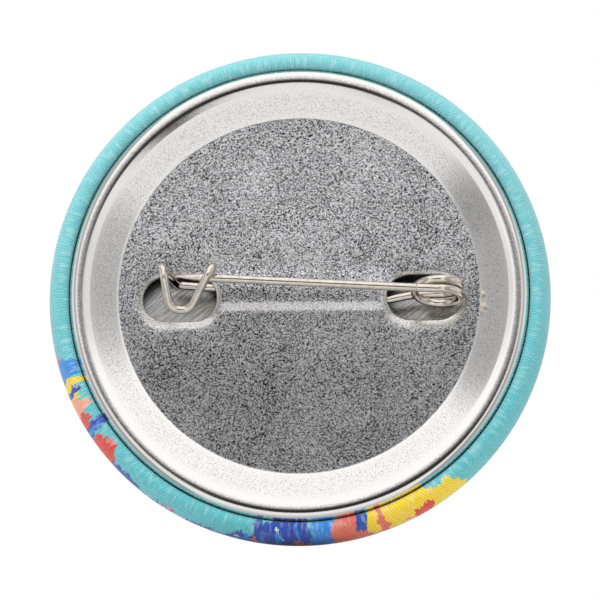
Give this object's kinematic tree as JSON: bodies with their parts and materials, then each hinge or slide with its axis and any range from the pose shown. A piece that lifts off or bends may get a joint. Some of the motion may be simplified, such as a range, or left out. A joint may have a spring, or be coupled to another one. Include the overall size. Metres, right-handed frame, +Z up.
{
  "type": "button badge",
  "caption": "Round cloth-covered button badge with a domed front, a rolled metal back plate and a wire safety pin whose arm opens to thread through a garment.",
  "frame": {"origin": "centre of the circle where the back rim bears on the garment", "axes": "+Y out of the back, into the garment; +Z up as the badge is worn; the printed face looks along -Y"},
  "size_m": [0.056, 0.0104, 0.056],
  "materials": {
    "printed_cloth": "woven, printed turquoise with paint splashes",
    "shell_steel": "scratched bare steel",
    "tinplate": "bare tinplate, grainy on its flat disc",
    "pin_wire": "polished nickel-plated wire"
  },
  "bodies": {
    "root": {"fabric_cover": "printed_cloth", "front_shell": "shell_steel", "back_plate": "tinplate", "pin_coil": "pin_wire", "pin_fixed_leg": "pin_wire", "pin_catch": "pin_wire"},
    "pin_arm": {"pin_arm": "pin_wire"}
  },
  "joints": [
    {"name": "pin_release", "type": "hinge", "parent": "root", "child": "pin_arm", "pos_m": [-0.01319, 0.00343, -0.00017], "axis": [0.969, 0.1985, -0.1469], "range_deg": [0, 222]}
  ]
}
